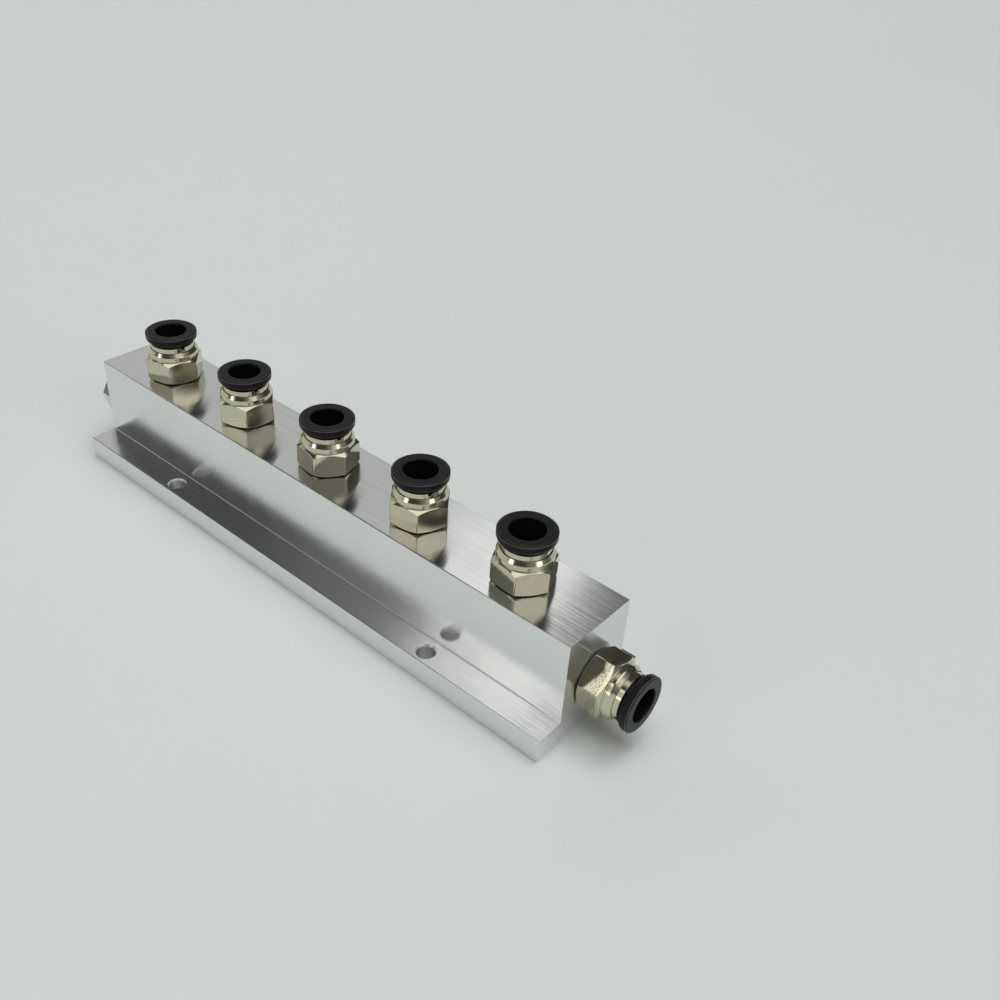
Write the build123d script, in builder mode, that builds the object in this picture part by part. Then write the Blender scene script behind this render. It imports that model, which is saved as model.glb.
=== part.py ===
from build123d import *
import os

# Air manifold block with five push-in outlets, one push-in inlet and an end plug.
# Millimetres, +Z up. Origin: centre of the mounting face, +X towards the inlet, +Y to the back.

# Block: an inverted T extrusion
outlet_count = 5
outlet_pitch = 40.0
outlet_shift = -1.2  # middle outlet, measured from the middle of the block
end_margin = 25.75  # mean distance from an end face to the nearest outlet axis
body_width = 27.0
body_height = 36.0
foot_projection = 9.5
foot_thickness = 8.0
edge_radius = 0.4
gallery_height = 17.0
gallery_diameter = 10.0
branch_diameter = 8.0

# Mounting holes for M5 screws
hole_spacing = 120.0
hole_edge_distance = 4.25
hole_diameter = 5.5
hole_chamfer = 0.45

# Threaded ports, drawn plain at the G1/4 major diameter
thread_diameter = 13.16
stem_length = 8.5
stem_chamfer = 0.8
port_runout = 2.0
port_chamfer = 0.4

# Push-in fittings for 10 mm tube. Heights are measured from the face they screw into.
tube_diameter = 10.0
tube_stop = 0.6
pocket_length = 2.6
passage_diameter = 7.6
tube_seal_height = 2.0
claw_thickness = 0.4
claw_shoulder = 0.1
tooth_count = 8
tooth_drop = 1.3
tooth_gap = 1.3
base_seal_thickness = 0.4
base_seal_inset = 0.7
hex_height = 7.75
hex_foot_slope = 0.5
hex_shoulder_slope = 0.7
hex_edge_radius = 0.5
collar_height = 3.15
collar_wall = 1.03
collar_step = 0.15
collar_shoulder_share = 0.77  # of the collar's wall
collar_shoulder_height = 1.3
collar_shoulder_rounding = 0.8
collar_relief_width = 0.12
collar_relief_depth = 1.2
groove_depth = 0.25
groove_height = 0.35
sleeve_wall = 0.85
sleeve_projection = 1.7
notch_width = 1.3
notch_depth = 0.7
release_travel = 1.0
barrel_wall = 1.25
lip_width = 0.35
lip_height = 1.2
flange_overhang = 1.3
flange_thickness = 2.95
flange_bevel_width = 0.55
flange_bevel_height = 0.3
flange_underside_radius = 1.2
mouth_rounding = 0.45

# End plug
plug_across_flats = 21.0
plug_head_height = 7.5
plug_seal_thickness = 1.5
plug_seal_inset = 0.8
plug_bevel = 0.6
plug_bevel_slope = 0.8

# Clearances, all radial unless named otherwise
thread_clearance = 0.03
seal_bore_clearance = 0.15
tube_clearance = 0.06
mouth_clearance = 0.15
seal_clearance = 0.02
press_clearance = 0.02
running_clearance = 0.05
end_clearance = 0.02  # lengthways, between the release ring and its stops
claw_clearance = 0.2  # lengthways, pressed ring to claw
tooth_clearance = 0.1  # lengthways, teeth to tube seal

# Derived sizes of the block
block_length = (outlet_count - 1) * outlet_pitch + 2 * end_margin
block_end = block_length / 2
base_width = body_width + 2 * foot_projection
thread_radius = thread_diameter / 2
stem_radius = thread_radius - thread_clearance
port_depth = stem_length + port_runout

# Derived radii of a fitting, from the tube outwards
tube_radius = tube_diameter / 2
pocket_radius = tube_radius + tube_clearance
mouth_radius = tube_radius + mouth_clearance
barrel_radius = mouth_radius + barrel_wall
lip_radius = barrel_radius + lip_width
sleeve_bore_radius = barrel_radius + running_clearance
lip_room_radius = lip_radius + running_clearance
cavity_radius = sleeve_bore_radius
sleeve_radius = sleeve_bore_radius + sleeve_wall
flange_radius = sleeve_radius + flange_overhang
body_bore_radius = sleeve_radius + press_clearance
collar_radius = body_bore_radius + collar_wall
hex_flat_radius = collar_radius + collar_step
hex_corner_radius = hex_flat_radius / 0.8660254
base_seal_inner = thread_radius + seal_bore_clearance
base_seal_outer = hex_flat_radius - base_seal_inset

# Derived heights of a fitting, from its seat upwards
hex_top = base_seal_thickness + hex_height
foot_height = base_seal_thickness + (hex_corner_radius - hex_flat_radius) * hex_foot_slope
hex_corner_top = hex_top - (hex_corner_radius - collar_radius) * hex_shoulder_slope
collar_top = hex_top + collar_height
tube_seal_floor = tube_stop + pocket_length
tube_seal_top = tube_seal_floor + tube_seal_height
claw_floor = tube_seal_top + tooth_clearance + tooth_drop
sleeve_floor = claw_floor + claw_thickness
barrel_end = sleeve_floor + claw_clearance + release_travel
lip_top = barrel_end + lip_height
sleeve_top = collar_top + sleeve_projection
flange_floor = sleeve_top + release_travel + end_clearance
ring_top = flange_floor + flange_thickness

outlet_positions = [
    outlet_shift + outlet_pitch * (i - (outlet_count - 1) / 2) for i in range(outlet_count)
]

# Each hexagon stopped where its thread ran tight: degrees from the seat's own x direction
outlet_clockings = [-46.5, -40.0, -9.0, -51.0, -6.5]
inlet_clocking = 41.0
outlet_notch_angles = [-7.0, -11.0, -13.0, -24.0, 150.0]
inlet_notch_angle = 200.0
plug_clocking = 12.0


def outlet_seat(x):
    return Plane(origin=(x, 0, body_height), x_dir=(1, 0, 0), z_dir=(0, 0, 1))


inlet_seat = Plane(origin=(block_end, 0, gallery_height), x_dir=(0, 1, 0), z_dir=(1, 0, 0))
plug_seat = Plane(origin=(-block_end, 0, gallery_height), x_dir=(0, -1, 0), z_dir=(-1, 0, 0))


def side_plane(seat):
    # Local x runs outwards from the seat's axis, local y runs along that axis
    return Plane(origin=seat.origin, x_dir=seat.x_dir, z_dir=-seat.y_dir)


def turned(seat, points, mode=Mode.ADD):
    # Turns a closed (radius, height) outline about the axis of the seat
    with BuildSketch(side_plane(seat)) as outline:
        with BuildLine():
            Polyline(*points, close=True)
        make_face()
    revolve(outline.sketch, axis=Axis(seat.origin, seat.z_dir), mode=mode)


os.makedirs("parts", exist_ok=True)


def save(piece, name):
    piece.label = name
    export_step(piece, f"parts/{name}.step")


# The block
port_outline = [
    (0, port_chamfer),
    (thread_radius + 2 * port_chamfer, port_chamfer),
    (thread_radius, -port_chamfer),
    (thread_radius, -port_depth),
    (0, -port_depth),
]
with BuildPart() as block:
    with BuildSketch(Plane.YZ.offset(-block_end)):
        with BuildLine():
            Polyline(
                (-base_width / 2, 0),
                (base_width / 2, 0),
                (base_width / 2, foot_thickness),
                (body_width / 2, foot_thickness),
                (body_width / 2, body_height),
                (-body_width / 2, body_height),
                (-body_width / 2, foot_thickness),
                (-base_width / 2, foot_thickness),
                close=True,
            )
        make_face()
    extrude(amount=block_length)
    fillet(block.edges().filter_by(Axis.X), radius=edge_radius)
    with Locations(Plane.YZ.offset(-block_end).location * Location((0, gallery_height, 0))):
        Cylinder(gallery_diameter / 2, block_length, align=(Align.CENTER, Align.CENTER, Align.MIN),
                 mode=Mode.SUBTRACT)
    for x in outlet_positions:
        turned(outlet_seat(x), port_outline, mode=Mode.SUBTRACT)
        with BuildSketch(Plane(origin=(x, 0, gallery_height))):
            Circle(branch_diameter / 2)
        extrude(amount=body_height - gallery_height, mode=Mode.SUBTRACT)
    turned(inlet_seat, port_outline, mode=Mode.SUBTRACT)
    turned(plug_seat, port_outline, mode=Mode.SUBTRACT)
    with Locations(Plane.XY.offset(foot_thickness)):
        with GridLocations(hole_spacing, base_width - 2 * hole_edge_distance, 2, 2):
            CounterSinkHole(hole_diameter / 2, hole_diameter / 2 + hole_chamfer, depth=foot_thickness)
save(block.part, "manifold_block")


def make_fitting(name, seat, clocking, notch_angle):
    with BuildPart() as body:
        with BuildSketch(seat.offset(base_seal_thickness)) as hexagon:
            RegularPolygon(hex_flat_radius, 6, major_radius=False, rotation=clocking)
            fillet(hexagon.vertices(), radius=hex_edge_radius)
        extrude(amount=hex_top - base_seal_thickness)
        turned(seat, [
            (0, base_seal_thickness),
            (hex_flat_radius, base_seal_thickness),
            (hex_corner_radius, foot_height),
            (hex_corner_radius, hex_corner_top),
            (collar_radius, hex_top),
            (0, hex_top),
        ], mode=Mode.INTERSECT)
        with BuildSketch(side_plane(seat)) as collar:
            with BuildLine():
                Polyline(
                    (0, foot_height),
                    (collar_radius - groove_depth, foot_height),
                    (collar_radius - groove_depth, hex_top + groove_height),
                    (collar_radius, hex_top + groove_height + groove_depth),
                    (collar_radius, collar_top - collar_shoulder_height),
                    (collar_radius - collar_shoulder_share * collar_wall, collar_top),
                    (0, collar_top),
                    close=True,
                )
            make_face()
            shoulder_corner = collar.vertices().group_by(Axis.X)[-1].sort_by(Axis.Y)[-1]
            fillet(shoulder_corner, radius=collar_shoulder_rounding)
        revolve(axis=Axis(seat.origin, seat.z_dir))
        turned(seat, [
            (0, -stem_length),
            (stem_radius - stem_chamfer, -stem_length),
            (stem_radius, stem_chamfer - stem_length),
            (stem_radius, base_seal_thickness),
            (0, base_seal_thickness),
        ])
        turned(seat, [
            (0, -port_depth),
            (passage_diameter / 2, -port_depth),
            (passage_diameter / 2, tube_stop),
            (pocket_radius, tube_stop),
            (pocket_radius, tube_seal_floor),
            (cavity_radius, tube_seal_floor),
            (cavity_radius, claw_floor),
            (body_bore_radius, claw_floor),
            (body_bore_radius, collar_top - collar_relief_depth),
            (body_bore_radius + collar_relief_width, collar_top - collar_relief_depth),
            (body_bore_radius + collar_relief_width, sleeve_top),
            (0, sleeve_top),
        ], mode=Mode.SUBTRACT)
    save(body.part, f"{name}_body")

    with BuildPart() as base_seal:
        turned(seat, [
            (base_seal_inner, 0),
            (base_seal_outer, 0),
            (base_seal_outer, base_seal_thickness),
            (base_seal_inner, base_seal_thickness),
        ])
    save(base_seal.part, f"{name}_base_seal")

    with BuildPart() as tube_seal:
        bead = tube_seal_height / 4
        turned(seat, [
            (tube_radius + seal_clearance, tube_seal_floor + bead),
            (tube_radius + seal_clearance + bead, tube_seal_floor),
            (cavity_radius - seal_clearance, tube_seal_floor),
            (cavity_radius - seal_clearance, tube_seal_top),
            (tube_radius + seal_clearance + bead, tube_seal_top),
            (tube_radius + seal_clearance, tube_seal_top - bead),
        ])
    save(tube_seal.part, f"{name}_tube_seal")

    with BuildPart() as claw:
        root = barrel_radius - claw_shoulder
        turned(seat, [
            (root, claw_floor),
            (body_bore_radius - press_clearance, claw_floor),
            (body_bore_radius - press_clearance, sleeve_floor),
            (root - claw_thickness / 2, sleeve_floor),
            (pocket_radius, sleeve_floor - tooth_drop),
            (pocket_radius, claw_floor - tooth_drop),
        ])
        with BuildSketch(seat.offset(tube_seal_top)):
            with PolarLocations(root / 2, tooth_count):
                Rectangle(root, tooth_gap)
        extrude(amount=barrel_end - tube_seal_top, mode=Mode.SUBTRACT)
    save(claw.part, f"{name}_claw")

    with BuildPart() as sleeve:
        turned(seat, [
            (lip_room_radius, sleeve_floor),
            (sleeve_radius, sleeve_floor),
            (sleeve_radius, sleeve_top),
            (sleeve_bore_radius, sleeve_top),
            (sleeve_bore_radius, lip_top + end_clearance),
            (lip_room_radius, lip_top + end_clearance),
        ])
        with BuildSketch(seat.offset(sleeve_top)):
            with PolarLocations(sleeve_radius, 1, start_angle=notch_angle):
                Rectangle(4 * sleeve_wall, notch_width)
        extrude(amount=-notch_depth, mode=Mode.SUBTRACT)
    save(sleeve.part, f"{name}_sleeve")

    with BuildPart() as ring:
        with BuildSketch(side_plane(seat)) as section:
            with BuildLine():
                Polyline(
                    (mouth_radius, barrel_end),
                    (lip_radius, barrel_end),
                    (lip_radius, lip_top),
                    (barrel_radius, lip_top),
                    (barrel_radius, flange_floor),
                    (flange_radius, flange_floor),
                    (flange_radius, ring_top - flange_bevel_height),
                    (flange_radius - flange_bevel_width, ring_top),
                    (mouth_radius, ring_top),
                    close=True,
                )
            make_face()
            mouth_corner = section.vertices().group_by(Axis.Y)[-1].sort_by(Axis.X)[0]
            fillet(mouth_corner, radius=mouth_rounding)
            underside_corner = section.vertices().group_by(Axis.X)[-1].sort_by(Axis.Y)[0]
            fillet(underside_corner, radius=flange_underside_radius)
        revolve(axis=Axis(seat.origin, seat.z_dir))
    save(ring.part, f"{name}_ring")


for i, x in enumerate(outlet_positions):
    make_fitting(f"outlet_{i + 1}", outlet_seat(x), outlet_clockings[i], outlet_notch_angles[i])
make_fitting("inlet", inlet_seat, inlet_clocking, inlet_notch_angle)

# Plug in the far end
plug_flat_radius = plug_across_flats / 2
plug_corner_radius = plug_flat_radius / 0.8660254
plug_face = plug_seal_thickness + plug_head_height
plug_bevel_height = plug_bevel_slope * (plug_corner_radius - plug_flat_radius + plug_bevel)
with BuildPart() as plug:
    with BuildSketch(plug_seat.offset(plug_seal_thickness)):
        RegularPolygon(plug_flat_radius, 6, major_radius=False, rotation=plug_clocking)
    extrude(amount=plug_head_height)
    turned(plug_seat, [
        (0, plug_seal_thickness),
        (plug_flat_radius - plug_bevel, plug_seal_thickness),
        (plug_corner_radius, plug_seal_thickness + plug_bevel_height),
        (plug_corner_radius, plug_face - plug_bevel_height),
        (plug_flat_radius - plug_bevel, plug_face),
        (0, plug_face),
    ], mode=Mode.INTERSECT)
    turned(plug_seat, [
        (0, -stem_length),
        (stem_radius - stem_chamfer, -stem_length),
        (stem_radius, stem_chamfer - stem_length),
        (stem_radius, plug_seal_thickness),
        (0, plug_seal_thickness),
    ])
save(plug.part, "end_plug")

with BuildPart() as plug_seal:
    turned(plug_seat, [
        (base_seal_inner, 0),
        (plug_flat_radius - plug_seal_inset, 0),
        (plug_flat_radius - plug_seal_inset, plug_seal_thickness),
        (base_seal_inner, plug_seal_thickness),
    ])
save(plug_seal.part, "plug_seal")
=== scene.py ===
import math

import bmesh
import bpy
from mathutils import Matrix, Vector


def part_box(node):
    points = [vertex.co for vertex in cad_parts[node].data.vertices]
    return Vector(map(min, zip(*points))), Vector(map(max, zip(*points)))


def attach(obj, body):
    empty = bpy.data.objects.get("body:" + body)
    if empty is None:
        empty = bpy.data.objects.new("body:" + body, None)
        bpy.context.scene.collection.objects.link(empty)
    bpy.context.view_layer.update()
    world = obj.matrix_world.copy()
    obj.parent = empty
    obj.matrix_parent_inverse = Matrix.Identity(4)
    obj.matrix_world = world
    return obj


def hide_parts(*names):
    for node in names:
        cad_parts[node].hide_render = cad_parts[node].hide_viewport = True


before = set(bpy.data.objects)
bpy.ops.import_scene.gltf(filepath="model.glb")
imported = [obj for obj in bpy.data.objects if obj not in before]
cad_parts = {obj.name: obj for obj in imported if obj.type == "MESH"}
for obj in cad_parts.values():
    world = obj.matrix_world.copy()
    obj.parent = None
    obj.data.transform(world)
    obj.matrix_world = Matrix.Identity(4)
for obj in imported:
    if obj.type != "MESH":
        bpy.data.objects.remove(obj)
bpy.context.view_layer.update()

MM = 0.001
quarter_turn = math.pi / 2

fittings = ["outlet_1", "outlet_2", "outlet_3", "outlet_4", "outlet_5", "inlet"]


# Camera: where the photograph was taken from, found from the corners of the block

camera_azimuth = math.radians(38.16)
camera_elevation = math.radians(35.43)
camera_roll = math.radians(4.23)
camera_distance = 306.25 * MM
camera_target = Vector((58.24, 13.12, 45.29)) * MM
camera_lens = 37.9
sensor_width = 36.0
nearest_seen = 0.01
farthest_seen = 50.0


def place_camera():
    data = bpy.data.cameras.new("camera")
    data.lens = camera_lens
    data.sensor_width = sensor_width
    data.clip_start = nearest_seen
    data.clip_end = farthest_seen
    camera = bpy.data.objects.new("camera", data)
    bpy.context.scene.collection.objects.link(camera)
    round_target = Matrix.Rotation(camera_azimuth, 4, "Z")
    down_on_target = Matrix.Rotation(quarter_turn - camera_elevation, 4, "X")
    rolled = Matrix.Rotation(camera_roll, 4, "Z")
    drawn_back = Matrix.Translation((0, 0, camera_distance))
    turned = round_target @ down_on_target @ rolled @ drawn_back
    camera.matrix_world = Matrix.Translation(camera_target) @ turned
    bpy.context.scene.camera = camera


# Node helpers

# Places of the Mix node's own sockets, which carry the same names for every data type
mix_number_inputs = (2, 3)
mix_number_output = 0
mix_colour_inputs = (6, 7)
mix_colour_output = 2


def add(tree, kind, **settings):
    node = tree.nodes.new(kind)
    for key, value in settings.items():
        setattr(node, key, value)
    return node


def feed(tree, socket, value):
    """Links an output to a socket, or writes a plain value on it."""
    if isinstance(value, bpy.types.NodeSocket):
        tree.links.new(value, socket)
    else:
        socket.default_value = value


def maths(tree, operation, a, b=0.0):
    node = add(tree, "ShaderNodeMath", operation=operation)
    feed(tree, node.inputs[0], a)
    feed(tree, node.inputs[1], b)
    return node.outputs[0]


def times(tree, a, b):
    return maths(tree, "MULTIPLY", a, b)


def total(tree, *values):
    so_far = values[0]
    for value in values[1:]:
        so_far = maths(tree, "ADD", so_far, value)
    return so_far


def less(tree, a, b):
    return maths(tree, "SUBTRACT", a, b)


def split(tree, vector):
    """The X, Y and Z outputs of a vector."""
    node = add(tree, "ShaderNodeSeparateXYZ")
    tree.links.new(vector, node.inputs[0])
    return node.outputs


def spread(tree, value, low, high, to_low=0.0, to_high=1.0, smooth=True):
    """Maps low..high to to_low..to_high, clamped."""
    kind = "SMOOTHSTEP" if smooth else "LINEAR"
    node = add(tree, "ShaderNodeMapRange", interpolation_type=kind)
    for index, item in enumerate((value, low, high, to_low, to_high)):
        feed(tree, node.inputs[index], item)
    return node.outputs[0]


def between(tree, share, at_none, at_all):
    """Goes evenly from one value to another as the share goes from 0 to 1."""
    return spread(tree, share, 0.0, 1.0, at_none, at_all, smooth=False)


def tint(tree, amount, first, second):
    node = add(tree, "ShaderNodeMix", data_type="RGBA")
    feed(tree, node.inputs["Factor"], amount)
    for index, colour in zip(mix_colour_inputs, (first, second)):
        feed(tree, node.inputs[index], (*colour, 1.0) if isinstance(colour, tuple) else colour)
    return node.outputs[mix_colour_output]


def noise(tree, where, scale, detail=2.0, roughness=0.5):
    node = add(tree, "ShaderNodeTexNoise")
    tree.links.new(where, node.inputs["Vector"])
    feed(tree, node.inputs["Scale"], scale)
    node.inputs["Detail"].default_value = detail
    node.inputs["Roughness"].default_value = roughness
    return node.outputs["Fac"]


def new_group(name, inputs, outputs):
    group = bpy.data.node_groups.new(name, "ShaderNodeTree")
    for label, kind, value in inputs:
        socket = group.interface.new_socket(label, in_out="INPUT", socket_type=kind)
        if value is not None:
            socket.default_value = value
    for label, kind in outputs:
        group.interface.new_socket(label, in_out="OUTPUT", socket_type=kind)
    return group, add(group, "NodeGroupInput"), add(group, "NodeGroupOutput")


def use_group(tree, group, **values):
    node = add(tree, "ShaderNodeGroup", node_tree=group)
    for label, value in values.items():
        feed(tree, node.inputs[label.replace("_", " ")], value)
    return node.outputs


# Effects that several finishes share

def make_drawn_lines():
    """Fine lines that run lengthways along one direction, as on drawn, rolled or turned metal."""
    fine_detail, coarse_detail, wander = 3.0, 2.0, 0.6
    shade_from, shade_to = 0.35, 0.65
    group, given, out = new_group(
        "drawn lines",
        [
            ("Position", "NodeSocketVector", None),
            ("Fine", "NodeSocketVector", (60.0, 5000.0, 5000.0)),
            ("Coarse", "NodeSocketVector", (25.0, 1200.0, 1200.0)),
            ("Coarse share", "NodeSocketFloat", 0.8),
        ],
        [("Height", "NodeSocketFloat"), ("Shade", "NodeSocketFloat")],
    )
    blend = add(group, "ShaderNodeMix", data_type="FLOAT")
    group.links.new(given.outputs["Coarse share"], blend.inputs["Factor"])
    layers = (("Fine", fine_detail), ("Coarse", coarse_detail))
    for index, (label, detail) in zip(mix_number_inputs, layers):
        scaled = add(group, "ShaderNodeVectorMath", operation="MULTIPLY")
        group.links.new(given.outputs["Position"], scaled.inputs[0])
        group.links.new(given.outputs[label], scaled.inputs[1])
        layer = noise(group, scaled.outputs[0], scale=1.0, detail=detail, roughness=wander)
        group.links.new(layer, blend.inputs[index])
    height = blend.outputs[mix_number_output]
    group.links.new(height, out.inputs["Height"])
    group.links.new(spread(group, height, shade_from, shade_to), out.inputs["Shade"])
    return group


def make_handling_marks():
    """Faint smears and sparse specks from handling."""
    smear_scale, smear_detail = 0.25, 3.0
    smear_from, smear_to = 0.4, 0.7
    speck_core, speck_rim = 0.035, 0.06
    clean_share = 0.72
    group, given, out = new_group(
        "handling marks",
        [("Position", "NodeSocketVector", None), ("Scale", "NodeSocketFloat", 260.0)],
        [("Smear", "NodeSocketFloat"), ("Speck", "NodeSocketFloat")],
    )
    position, scale = given.outputs["Position"], given.outputs["Scale"]
    smear = noise(group, position, times(group, scale, smear_scale), smear_detail)
    group.links.new(spread(group, smear, smear_from, smear_to), out.inputs["Smear"])
    cells = add(group, "ShaderNodeTexVoronoi", feature="F1")
    group.links.new(position, cells.inputs["Vector"])
    group.links.new(scale, cells.inputs["Scale"])
    speck = spread(group, cells.outputs["Distance"], speck_core, speck_rim, 1.0, 0.0)
    chosen = maths(group, "GREATER_THAN", cells.outputs["Color"], clean_share)
    group.links.new(times(group, speck, chosen), out.inputs["Speck"])
    return group


def make_soft_edges():
    """Slightly rounded normals along every sharp edge, and a mask of those edges."""
    edge_agreement, flat_agreement = 0.92, 0.995
    group, given, out = new_group(
        "soft edges",
        [("Radius", "NodeSocketFloat", 0.2 * MM)],
        [("Normal", "NodeSocketVector"), ("Edge", "NodeSocketFloat")],
    )
    bevel = add(group, "ShaderNodeBevel", samples=6)
    group.links.new(given.outputs["Radius"], bevel.inputs["Radius"])
    surface = add(group, "ShaderNodeNewGeometry")
    agree = add(group, "ShaderNodeVectorMath", operation="DOT_PRODUCT")
    group.links.new(bevel.outputs["Normal"], agree.inputs[0])
    group.links.new(surface.outputs["Normal"], agree.inputs[1])
    group.links.new(bevel.outputs["Normal"], out.inputs["Normal"])
    edge = spread(group, agree.outputs["Value"], edge_agreement, flat_agreement, 1.0, 0.0)
    group.links.new(edge, out.inputs["Edge"])
    return group


drawn_lines = make_drawn_lines()
handling_marks = make_handling_marks()
soft_edges = make_soft_edges()


# Finishes, and where they change on the object

# Where the drawn lines start to be scuffed deeper and painted with glints, and where they fully
# are
scuffs_and_glints_begin = 87 * MM
scuffs_and_glints_full = 98 * MM
hexagon_face_x = 112.6 * MM
past_the_inlet = 1.0
screw_hole_x = 60.0 * MM
screw_hole_y = 18.75 * MM
screw_hole_radius = 3.15 * MM

# Share of a normal along an axis from which a face starts to face that way, and fully does
faces_from = 0.5
faces_fully = 0.9

# The part of a fine grain's range that the roughness follows
grain_low = 0.3
grain_high = 0.7


def new_finish(name, **constants):
    material = bpy.data.materials.new(name)
    material.use_nodes = True
    tree = material.node_tree
    tree.nodes.clear()
    output = add(tree, "ShaderNodeOutputMaterial")
    shader = add(tree, "ShaderNodeBsdfPrincipled")
    tree.links.new(shader.outputs[0], output.inputs["Surface"])
    for key, value in constants.items():
        shader.inputs[key.replace("_", " ")].default_value = value
    place = add(tree, "ShaderNodeTexCoord").outputs["Object"]
    return material, tree, shader, place


def bump(tree, shader, height, depth, normal=None):
    """Raises the surface by up to depth metres."""
    node = add(tree, "ShaderNodeBump")
    node.inputs["Distance"].default_value = depth
    tree.links.new(height, node.inputs["Height"])
    if normal is not None:
        tree.links.new(normal, node.inputs["Normal"])
    tree.links.new(node.outputs["Normal"], shader.inputs["Normal"])


def extruded_aluminium():
    """Drawn lengthways, scuffed towards the inlet end, satin on the sawn ends,
    duller in the drilled holes. Near the inlet end the lines' colour also runs up to white:
    painted glints standing in for light caught by the scratches."""
    # The lines' colour runs from dark to white; the white end is a painted glint
    line_dark, line_glint = (0.61, 0.63, 0.615), (1.0, 1.0, 1.0)
    # Sharp edges are tinted lighter: a painted highlight along them
    edge_highlight_share, edge_highlight_colour = 0.3, (0.97, 0.98, 0.975)
    speck_share, speck_colour = 0.35, (0.45, 0.46, 0.46)
    fresh_lines, side_lines, sawn_relief = 0.2, 0.12, 0.1
    side_roughness, top_roughness = 0.17, 0.14
    sawn_roughness, smear_roughness, drilled_roughness = 0.07, 0.03, 0.12
    mid_shade = 0.5
    line_depth = 25e-6
    grain_strength, grain_direction = 0.9, (1.0, 0.02, 0.01)

    material, tree, shader, place = new_finish("extruded aluminium", Metallic=1.0,
                                               Anisotropic=grain_strength)
    normal = add(tree, "ShaderNodeNewGeometry").outputs["Normal"]
    facing = split(tree, normal)
    where = split(tree, place)
    upward = spread(tree, facing["Z"], faces_from, faces_fully)
    endways = spread(tree, maths(tree, "ABSOLUTE", facing["X"]), faces_from, faces_fully)
    # Strongest on top near the inlet end: real scuffs in the relief, painted glints in the colour
    scuffs_and_glints = times(tree, spread(tree, where["X"], scuffs_and_glints_begin, scuffs_and_glints_full, fresh_lines, 1.0),
                 spread(tree, upward, 0.0, 1.0, side_lines, 1.0))
    along = less(tree, maths(tree, "ABSOLUTE", where["X"]), screw_hole_x)
    aside = less(tree, maths(tree, "ABSOLUTE", where["Y"]), screw_hole_y)
    apart = total(tree, times(tree, along, along), times(tree, aside, aside))
    drilled = maths(tree, "LESS_THAN", apart, screw_hole_radius ** 2)

    lines = use_group(tree, drawn_lines, Position=place, Fine=(45.0, 5200.0, 5200.0),
                      Coarse=(20.0, 2200.0, 2200.0), Coarse_share=0.35)
    marks = use_group(tree, handling_marks, Position=place)
    edges = use_group(tree, soft_edges, Radius=0.08 * MM)
    # Base colour of the lines, swinging widest near the inlet end: painted glints on the bright
    # side
    shade = total(tree, times(tree, less(tree, lines["Shade"], mid_shade), scuffs_and_glints), mid_shade)
    metal = tint(tree, shade, line_dark, line_glint)
    # Painted highlight along the sharp edges
    metal = tint(tree, times(tree, edges["Edge"], edge_highlight_share), metal, edge_highlight_colour)
    metal = tint(tree, times(tree, marks["Speck"], speck_share), metal, speck_colour)
    tree.links.new(metal, shader.inputs["Base Color"])
    rough = total(
        tree,
        between(tree, upward, side_roughness, top_roughness),
        times(tree, endways, sawn_roughness),
        times(tree, marks["Smear"], smear_roughness),
        times(tree, drilled, drilled_roughness),
    )
    tree.links.new(rough, shader.inputs["Roughness"])
    relief = times(tree, times(tree, lines["Height"], scuffs_and_glints),
                   spread(tree, endways, 0.0, 1.0, 1.0, sawn_relief))
    bump(tree, shader, relief, line_depth, edges["Normal"])

    # The drawn grain spreads reflections across the length of the block
    across = add(tree, "ShaderNodeVectorMath", operation="CROSS_PRODUCT")
    tree.links.new(normal, across.inputs[0])
    across.inputs[1].default_value = grain_direction
    tree.links.new(across.outputs[0], shader.inputs["Tangent"])
    return material


def plated_nickel(name, turning_marks, mottling, mottled_up_to):
    """Bright nickel with a warm cast, over turning marks, mottled up to one place along X."""
    warm_dark, warm_light = (0.60, 0.58, 0.43), (0.66, 0.635, 0.48)
    # Sharp edges are tinted paler: a painted highlight along them
    edge_highlight_share, edge_highlight_colour = 0.15, (0.80, 0.77, 0.66)
    stain_from, stain_to, stain_colour = 0.36, 0.60, (0.28, 0.26, 0.18)
    smooth_roughness, turned_roughness = 0.07, 0.13
    least_dimples, turned_relief = 0.3, 0.2
    relief_depth = 15e-6

    material, tree, shader, place = new_finish(name, Metallic=1.0)
    edges = use_group(tree, soft_edges, Radius=0.12 * MM)
    lines = use_group(tree, drawn_lines, Position=place, Fine=turning_marks, Coarse_share=0.0)
    cloud = noise(tree, place, scale=220.0)
    stain = noise(tree, place, scale=3000.0, detail=3.0, roughness=0.6)
    dimples = noise(tree, place, scale=1300.0, detail=4.0, roughness=0.6)
    mottled = maths(tree, "LESS_THAN", split(tree, place)["X"], mottled_up_to)
    stained = times(tree, spread(tree, stain, stain_from, stain_to, 0.0, mottling), mottled)
    metal = tint(tree, cloud, warm_dark, warm_light)
    metal = tint(tree, stained, metal, stain_colour)
    # Painted highlight along the sharp edges
    metal = tint(tree, times(tree, edges["Edge"], edge_highlight_share), metal, edge_highlight_colour)
    tree.links.new(metal, shader.inputs["Base Color"])
    rough = between(tree, lines["Shade"], smooth_roughness, turned_roughness)
    tree.links.new(rough, shader.inputs["Roughness"])
    uneven = total(tree, times(tree, mottled, mottling), least_dimples)
    relief = total(tree, times(tree, dimples, uneven), times(tree, lines["Height"], turned_relief))
    bump(tree, shader, relief, relief_depth, edges["Normal"])
    return material


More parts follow.
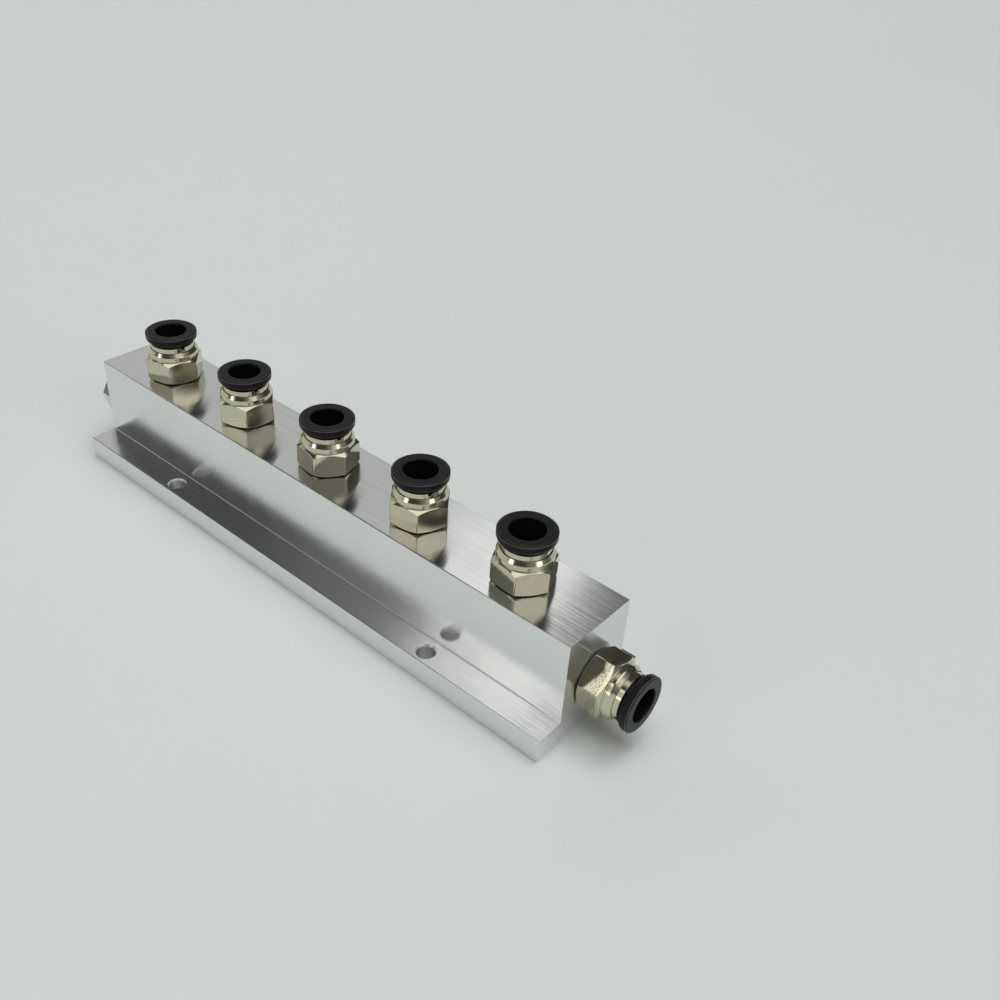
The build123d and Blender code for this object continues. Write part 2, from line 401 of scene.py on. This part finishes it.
def plated_steel():
    """Dull plating with a fine grain."""
    grain_dark, grain_light = (0.62, 0.63, 0.62), (0.74, 0.75, 0.74)
    # Sharp edges are tinted lighter: a painted highlight along them
    edge_highlight_share, edge_highlight_colour = 0.6, (0.88, 0.88, 0.87)
    least_roughness, most_roughness = 0.24, 0.36
    grain_depth = 5e-6

    material, tree, shader, place = new_finish("plated steel", Metallic=1.0)
    edges = use_group(tree, soft_edges, Radius=0.2 * MM)
    grain = noise(tree, place, scale=3500.0, detail=3.0, roughness=0.6)
    metal = tint(tree, grain, grain_dark, grain_light)
    # Painted highlight along the sharp edges
    metal = tint(tree, times(tree, edges["Edge"], edge_highlight_share), metal, edge_highlight_colour)
    tree.links.new(metal, shader.inputs["Base Color"])
    rough = spread(tree, grain, grain_low, grain_high, least_roughness, most_roughness)
    tree.links.new(rough, shader.inputs["Roughness"])
    bump(tree, shader, grain, grain_depth, edges["Normal"])
    return material


def plain_grain(name, scale, detail, dark, light, roughness, depth, **constants):
    """One colour, one roughness and a fine grain in both, for the pieces deep inside."""
    material, tree, shader, place = new_finish(name, **constants)
    grain = noise(tree, place, scale, detail)
    tree.links.new(tint(tree, grain, dark, light), shader.inputs["Base Color"])
    rough = spread(tree, grain, grain_low, grain_high, *roughness)
    tree.links.new(rough, shader.inputs["Roughness"])
    bump(tree, shader, grain, depth)
    return material


def black_plastic():
    """Moulded acetal: deep black with a faint satin skin."""
    cloud_dark, cloud_light = (0.0035, 0.0036, 0.0038), (0.007, 0.0071, 0.0075)
    # Sharp edges are tinted grey: a painted highlight along them
    edge_highlight_share, edge_highlight_colour = 0.8, (0.25, 0.25, 0.255)
    least_roughness, most_roughness = 0.28, 0.40
    skin_depth = 4e-6

    material, tree, shader, place = new_finish("black plastic", IOR=1.26)
    edges = use_group(tree, soft_edges, Radius=0.3 * MM)
    grain = noise(tree, place, scale=6000.0)
    cloud = noise(tree, place, scale=300.0)
    body = tint(tree, cloud, cloud_dark, cloud_light)
    # Painted highlight along the sharp edges
    body = tint(tree, times(tree, edges["Edge"], edge_highlight_share), body, edge_highlight_colour)
    tree.links.new(body, shader.inputs["Base Color"])
    rough = spread(tree, grain, grain_low, grain_high, least_roughness, most_roughness)
    tree.links.new(rough, shader.inputs["Roughness"])
    bump(tree, shader, grain, skin_depth, edges["Normal"])
    return material


# The turning marks are close together along the axis that each fitting was turned round
aluminium = extruded_aluminium()
nickel_upright = plated_nickel("nickel plating", turning_marks=(60.0, 60.0, 9000.0),
                               mottling=0.12, mottled_up_to=past_the_inlet)
nickel_lengthways = plated_nickel("nickel plating, inlet", turning_marks=(9000.0, 60.0, 60.0),
                                  mottling=0.75, mottled_up_to=hexagon_face_x)
plug_steel = plated_steel()
claw_steel = plain_grain("spring steel", scale=2400.0, detail=2.0,
                         dark=(0.50, 0.49, 0.47), light=(0.62, 0.61, 0.59),
                         roughness=(0.24, 0.34), depth=3e-6, Metallic=1.0)
plastic = black_plastic()
rubber = plain_grain("black rubber", scale=4200.0, detail=3.0,
                     dark=(0.008, 0.008, 0.008), light=(0.016, 0.016, 0.016),
                     roughness=(0.55, 0.72), depth=8e-6, IOR=1.5)


def paint(node_name, material):
    """Gives a CAD node its finish."""
    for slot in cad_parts[node_name].material_slots:
        slot.material = material


def paint_cad_nodes():
    paint("manifold_block", aluminium)
    paint("end_plug", plug_steel)
    for fitting in fittings:
        nickel = nickel_lengthways if fitting == "inlet" else nickel_upright
        paint(f"{fitting}_body", nickel)
        paint(f"{fitting}_sleeve", nickel)
        paint(f"{fitting}_claw", claw_steel)
        paint(f"{fitting}_ring", plastic)


# Rubber seals, moulded with rounded lips

thread_relief_radius = 6.73 * MM
tube_grip_radius = 5.02 * MM
seal_steps = 96
lip_segments = 4
same_point = 1e-7

# Radius of the lips, as a share of the seal's thickness
base_seal_rounding = 0.4
tube_seal_rounding = 0.3
plug_seal_rounding = 0.3


def finish_piece(mesh, name, material):
    data = bpy.data.meshes.new(name)
    mesh.to_mesh(data)
    mesh.free()
    data.materials.append(material)
    piece = bpy.data.objects.new(name, data)
    bpy.context.scene.collection.objects.link(piece)
    for face in data.polygons:
        face.use_smooth = True
    return piece


def moulded_seal(node_name, bore_radius, lengthways, rounding):
    """A ring of rectangular section with rounded corners, in the room of a CAD seal."""
    low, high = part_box(node_name)
    centre = (low + high) / 2
    size = high - low
    outer = size.y / 2
    thickness = size.x if lengthways else size.z
    half_side = 0.5
    mesh = bmesh.new()
    section = bmesh.ops.create_grid(mesh, x_segments=1, y_segments=1, size=half_side)["verts"]
    bmesh.ops.scale(mesh, verts=section, vec=(outer - bore_radius, thickness, 1))
    bmesh.ops.translate(mesh, verts=section, vec=((outer + bore_radius) / 2, 0, 0))
    bmesh.ops.rotate(mesh, verts=section, matrix=Matrix.Rotation(quarter_turn, 3, "X"))
    bmesh.ops.bevel(mesh, geom=mesh.verts[:], offset=rounding * thickness, offset_type="OFFSET",
                    segments=lip_segments, profile=0.5, affect="VERTICES", material=-1)
    bmesh.ops.delete(mesh, geom=mesh.faces[:], context="FACES_ONLY")
    bmesh.ops.spin(mesh, geom=mesh.verts[:] + mesh.edges[:], cent=(0, 0, 0), axis=(0, 0, 1),
                   angle=2 * math.pi, steps=seal_steps, use_merge=True)
    bmesh.ops.remove_doubles(mesh, verts=mesh.verts[:], dist=same_point)
    bmesh.ops.recalc_face_normals(mesh, faces=mesh.faces[:])
    if lengthways:
        bmesh.ops.rotate(mesh, verts=mesh.verts[:], matrix=Matrix.Rotation(quarter_turn, 3, "Y"))
    bmesh.ops.translate(mesh, verts=mesh.verts[:], vec=centre)
    piece = finish_piece(mesh, f"{node_name}_moulding", rubber)
    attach(piece, "manifold")
    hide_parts(node_name)


def make_seals():
    for fitting in fittings:
        lengthways = fitting == "inlet"
        moulded_seal(f"{fitting}_base_seal", thread_relief_radius, lengthways, base_seal_rounding)
        moulded_seal(f"{fitting}_tube_seal", tube_grip_radius, lengthways, tube_seal_rounding)
    moulded_seal("plug_seal", thread_relief_radius, True, plug_seal_rounding)


# Studio: a pale table, a pale sweep round it, a dim room with a lit screen at the left

table_half_width = 6.0
table_colour = (0.643, 0.684, 0.668)
table_cloud_scale = 2.5
table_lightening = 1.02
table_roughness = 0.6
table_gloss = 0.15

# Edges, slants and blurs are in parts of the unit vector that points to a place in the room
room_tint = (0.985, 1.0, 0.985, 1.0)
room_radiance = 0.06
sweep_radiance = 0.62
sweep_top = 0.17
sweep_slope = 0.15
sweep_blur = 0.03
screen_radiance = 0.50
screen_edge = -0.405
screen_edge_blur = 0.014
screen_front = 0.25
screen_slant = 2.86
screen_slant_shift = 2.10
screen_front_blur = 0.07

# Soft round boxes: direction, inner and outer half angle in degrees, radiance
lamp_tint = (1.0, 0.985, 0.97, 1.0)
soft_boxes = {
    "front_left": ((-0.415, -0.555, 0.72), 4, 8, 1.45),
    "front_left_wide": ((-0.51, -0.53, 0.68), 2, 11, 0.2),
    "left_low": ((-0.82, -0.24, 0.52), 2, 8, 0.4),
    "front_low": ((-0.25, -0.79, 0.56), 8, 18, 0.55),
    "front_strip": ((-0.22, -0.93, 0.31), 5, 10, 2.0),
    "right_strip": ((0.95, 0.02, 0.31), 6, 13, 1.9),
    "right": ((0.76, -0.12, 0.64), 6, 20, 0.55),
    "right_back": ((0.81, 0.16, 0.56), 5, 11, 0.22),
    "right_wide": ((0.80, 0.00, 0.55), 20, 50, 0.2),
    "back_left": ((-0.46, 0.61, 0.64), 2, 7, 0.6),
}

# Metal mirrors these no brighter than overhead_mirrored, so that its grain shows from above
overhead_boxes = {
    "overhead": ((0.15, 0.02, 0.99), 18, 34, 1.6),
    "key": ((0.10, 0.30, 0.95), 10, 18, 3.7),
    "top": ((-0.04, -0.24, 0.97), 8, 16, 2.6),
}
overhead_mirrored = 1.1


def lay_table():
    mesh = bmesh.new()
    bmesh.ops.create_grid(mesh, x_segments=1, y_segments=1, size=table_half_width)
    material, tree, shader, place = new_finish("pale table", Roughness=table_roughness,
                                               Specular_IOR_Level=table_gloss)
    cloud = noise(tree, place, table_cloud_scale)
    lighter = tuple(min(1.0, table_lightening * value) for value in table_colour)
    tree.links.new(tint(tree, cloud, table_colour, lighter), shader.inputs["Base Color"])
    table = finish_piece(mesh, "table", material)


def patch_of_sky(tree, direction, towards, inner, outer):
    """A soft round patch: 1 within the inner angle of its middle, 0 beyond the outer one."""
    near = add(tree, "ShaderNodeVectorMath", operation="DOT_PRODUCT")
    tree.links.new(direction, near.inputs[0])
    near.inputs[1].default_value = Vector(towards).normalized()
    rim, core = math.cos(math.radians(outer)), math.cos(math.radians(inner))
    return spread(tree, near.outputs["Value"], rim, core)


def sum_of_boxes(tree, direction, boxes):
    patches = [times(tree, patch_of_sky(tree, direction, towards, inner, outer), radiance)
               for towards, inner, outer, radiance in boxes.values()]
    return total(tree, *patches)


def room_level(tree, direction, ray):
    """A dim room, a lit screen and the pale sweep, which is all that the camera sees."""
    parts = split(tree, direction)
    height = total(tree, parts["Z"], times(tree, parts["Y"], sweep_slope))
    low = spread(tree, height, sweep_top - sweep_blur, sweep_top + sweep_blur, 1.0, 0.0)
    leftwards = spread(tree, parts["X"], screen_edge - screen_edge_blur,
                       screen_edge + screen_edge_blur, 1.0, 0.0)
    slanted = total(tree, times(tree, parts["X"], screen_slant), screen_slant_shift)
    behind = less(tree, parts["Y"], maths(tree, "MINIMUM", slanted, screen_front))
    backwards = spread(tree, behind, -screen_front_blur, screen_front_blur)
    screen = times(tree, leftwards, backwards)
    level = between(tree, screen, room_radiance, screen_radiance)
    level = between(tree, low, level, sweep_radiance)
    return between(tree, ray["Is Camera Ray"], level, sweep_radiance)


def lamp_level(tree, direction, ray):
    """The soft boxes, which light the object and are hidden from the camera."""
    above = sum_of_boxes(tree, direction, overhead_boxes)
    mirrored = maths(tree, "MINIMUM", above, overhead_mirrored)
    above = between(tree, ray["Is Glossy Ray"], above, mirrored)
    lamps = total(tree, above, sum_of_boxes(tree, direction, soft_boxes))
    return times(tree, lamps, less(tree, 1.0, ray["Is Camera Ray"]))


def light_room():
    world = bpy.data.worlds.new("studio")
    bpy.context.scene.world = world
    world.use_nodes = True
    tree = world.node_tree
    tree.nodes.clear()
    direction = add(tree, "ShaderNodeTexCoord").outputs["Generated"]
    ray = add(tree, "ShaderNodeLightPath").outputs
    layers = ((room_tint, room_level(tree, direction, ray)),
              (lamp_tint, lamp_level(tree, direction, ray)))
    both = add(tree, "ShaderNodeAddShader")
    for index, (colour, strength) in enumerate(layers):
        background = add(tree, "ShaderNodeBackground")
        background.inputs["Color"].default_value = colour
        tree.links.new(strength, background.inputs["Strength"])
        tree.links.new(background.outputs[0], both.inputs[index])
    output = add(tree, "ShaderNodeOutputWorld")
    tree.links.new(both.outputs[0], output.inputs["Surface"])


place_camera()
paint_cad_nodes()
make_seals()
lay_table()
light_room()
bpy.context.scene.view_settings.view_transform = "Standard"
